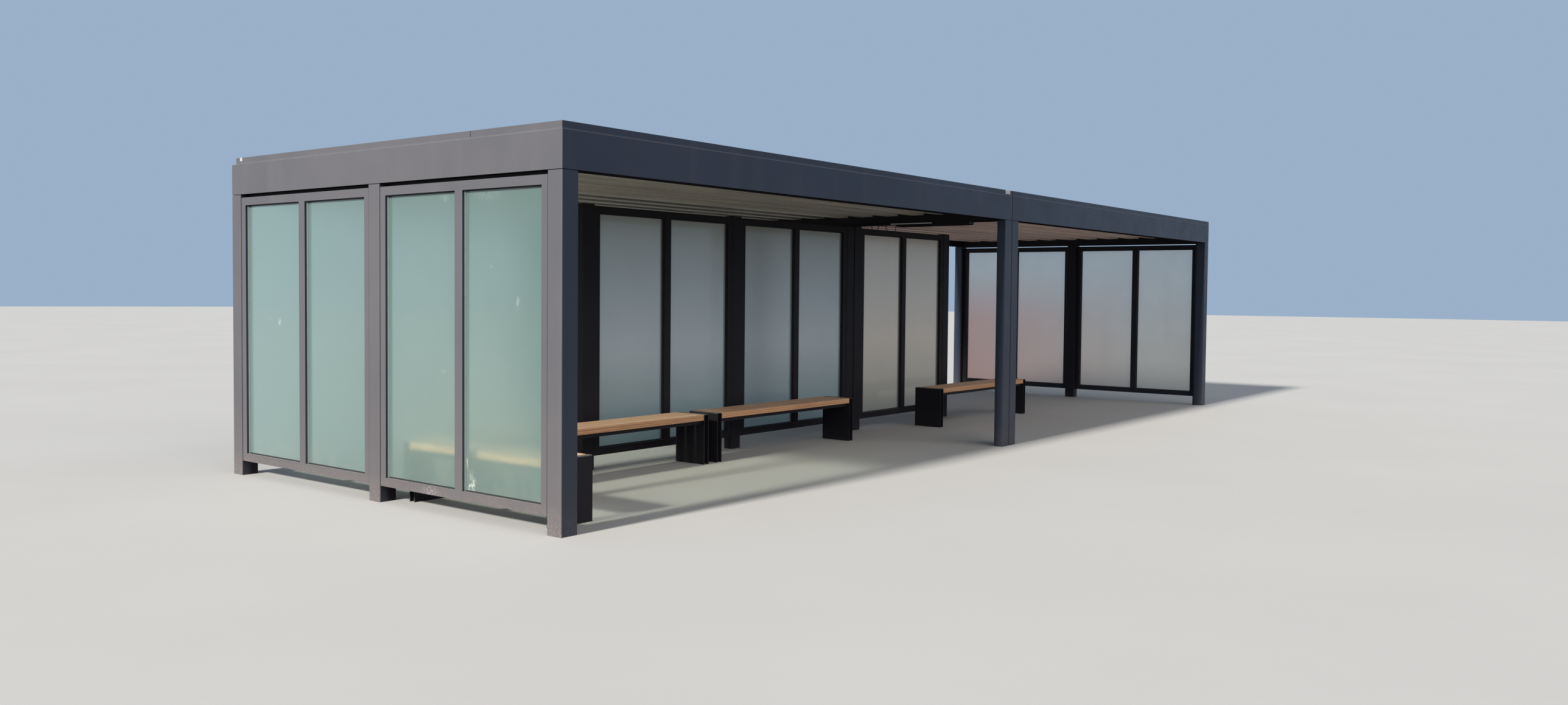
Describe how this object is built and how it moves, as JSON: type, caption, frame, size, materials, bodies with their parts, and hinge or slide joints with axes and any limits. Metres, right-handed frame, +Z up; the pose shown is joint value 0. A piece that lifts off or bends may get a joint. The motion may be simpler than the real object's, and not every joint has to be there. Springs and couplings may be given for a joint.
{
  "type": "bus shelter",
  "caption": "Long flat-roofed waiting shelter of dark painted steel with glazed end walls, a glazed middle wall and slatted benches.",
  "frame": {"origin": "on the ground at the middle of the plan, under the gap between the two modules", "axes": "+X along the shelter towards the end wall without a bench, -Y towards the front with the benches, +Z up"},
  "size_m": [12.29, 4.14, 2.67],
  "materials": {
    "steel": "satin dark grey paint, dusty",
    "frame": "satin dark grey paint on the frames, bench steel and lamps",
    "glass": "frosted safety glass",
    "ceiling": "pale grey coated ribbed sheet",
    "tray": "dry mineral roof covering",
    "seal": "matt black",
    "light": "pale translucent strip",
    "wood": "oiled hardwood, slightly weathered"
  },
  "bodies": {
    "root": {"left_front_post": "steel", "left_middle_post": "steel", "left_rear_post": "steel", "right_front_post": "steel", "right_middle_post": "steel", "right_rear_post": "steel", "front_centre_posts": "steel", "rear_centre_posts": "steel", "wall_centre_posts": "steel", "wall_posts": "steel", "left_front_frame": "frame", "left_rear_frame": "frame", "right_front_frame": "frame", "right_rear_frame": "frame", "wall_frame_1": "frame", "wall_frame_2": "frame", "wall_frame_3": "frame", "left_glass": "glass", "right_glass": "glass", "wall_glass_1": "glass", "wall_glass_2": "glass", "wall_glass_3": "glass", "front_left_beam": "steel", "front_right_beam": "steel", "rear_left_beam": "steel", "rear_right_beam": "steel", "left_beam": "steel", "right_beam": "steel", "cross_beams": "steel", "module_seal": "seal", "left_ceiling": "ceiling", "right_ceiling": "ceiling", "left_tray": "tray", "right_tray": "tray", "lamp_housings": "frame", "lamp_strips": "light", "lamp_cable": "seal", "end_bench_steel": "frame", "end_bench_boards": "wood", "bench_1_steel": "frame", "bench_1_boards": "wood", "bench_2_steel": "frame", "bench_2_boards": "wood", "bench_3_steel": "frame", "bench_3_boards": "wood"}
  },
  "joints": []
}
